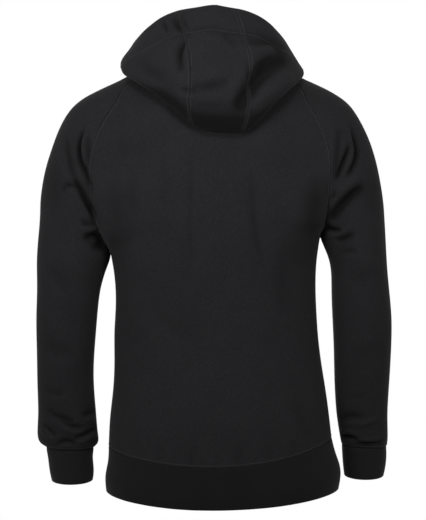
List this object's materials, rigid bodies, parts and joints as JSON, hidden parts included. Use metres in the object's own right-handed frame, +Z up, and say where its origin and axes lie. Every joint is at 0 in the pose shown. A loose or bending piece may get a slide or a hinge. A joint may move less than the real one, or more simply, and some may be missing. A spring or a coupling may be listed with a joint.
{
  "type": "zip-up hoodie",
  "caption": "Raglan-sleeve zip-up hoodie in its worn form with nobody in it, hood down on the back, rib cuffs and hem band.",
  "frame": {"origin": "midway between the shoulders at the base of the neck, where the wearer's shoulders carry the garment", "axes": "+Z up, the front faces -Y, the wearer's left is +X"},
  "size_m": [0.5835, 0.273, 0.7912],
  "materials": {
    "fleece": "brushed-back cotton fleece, black",
    "rib": "rib knit, black",
    "zip_tape": "woven tape, black",
    "zip_metal": "dark gunmetal"
  },
  "bodies": {
    "garment": {"back": "fleece", "front_left": "fleece", "front_right": "fleece", "sleeve_left": "fleece", "sleeve_right": "fleece", "cuff_left": "rib", "cuff_right": "rib", "hem_band": "rib", "hood_left": "fleece", "hood_right": "fleece", "hood_centre": "fleece", "zip_tape_left": "zip_tape", "zip_tape_right": "zip_tape", "zip_chain": "zip_metal", "zip_box": "zip_metal", "zip_slider": "zip_metal"},
    "pull_tab": {"zip_pull": "zip_metal"}
  },
  "joints": [
    {"name": "pull_swing", "type": "hinge", "parent": "garment", "child": "pull_tab", "pos_m": [0, -0.0944, -0.0699], "axis": [-1, 0, 0], "range_deg": [0, 160]}
  ]
}
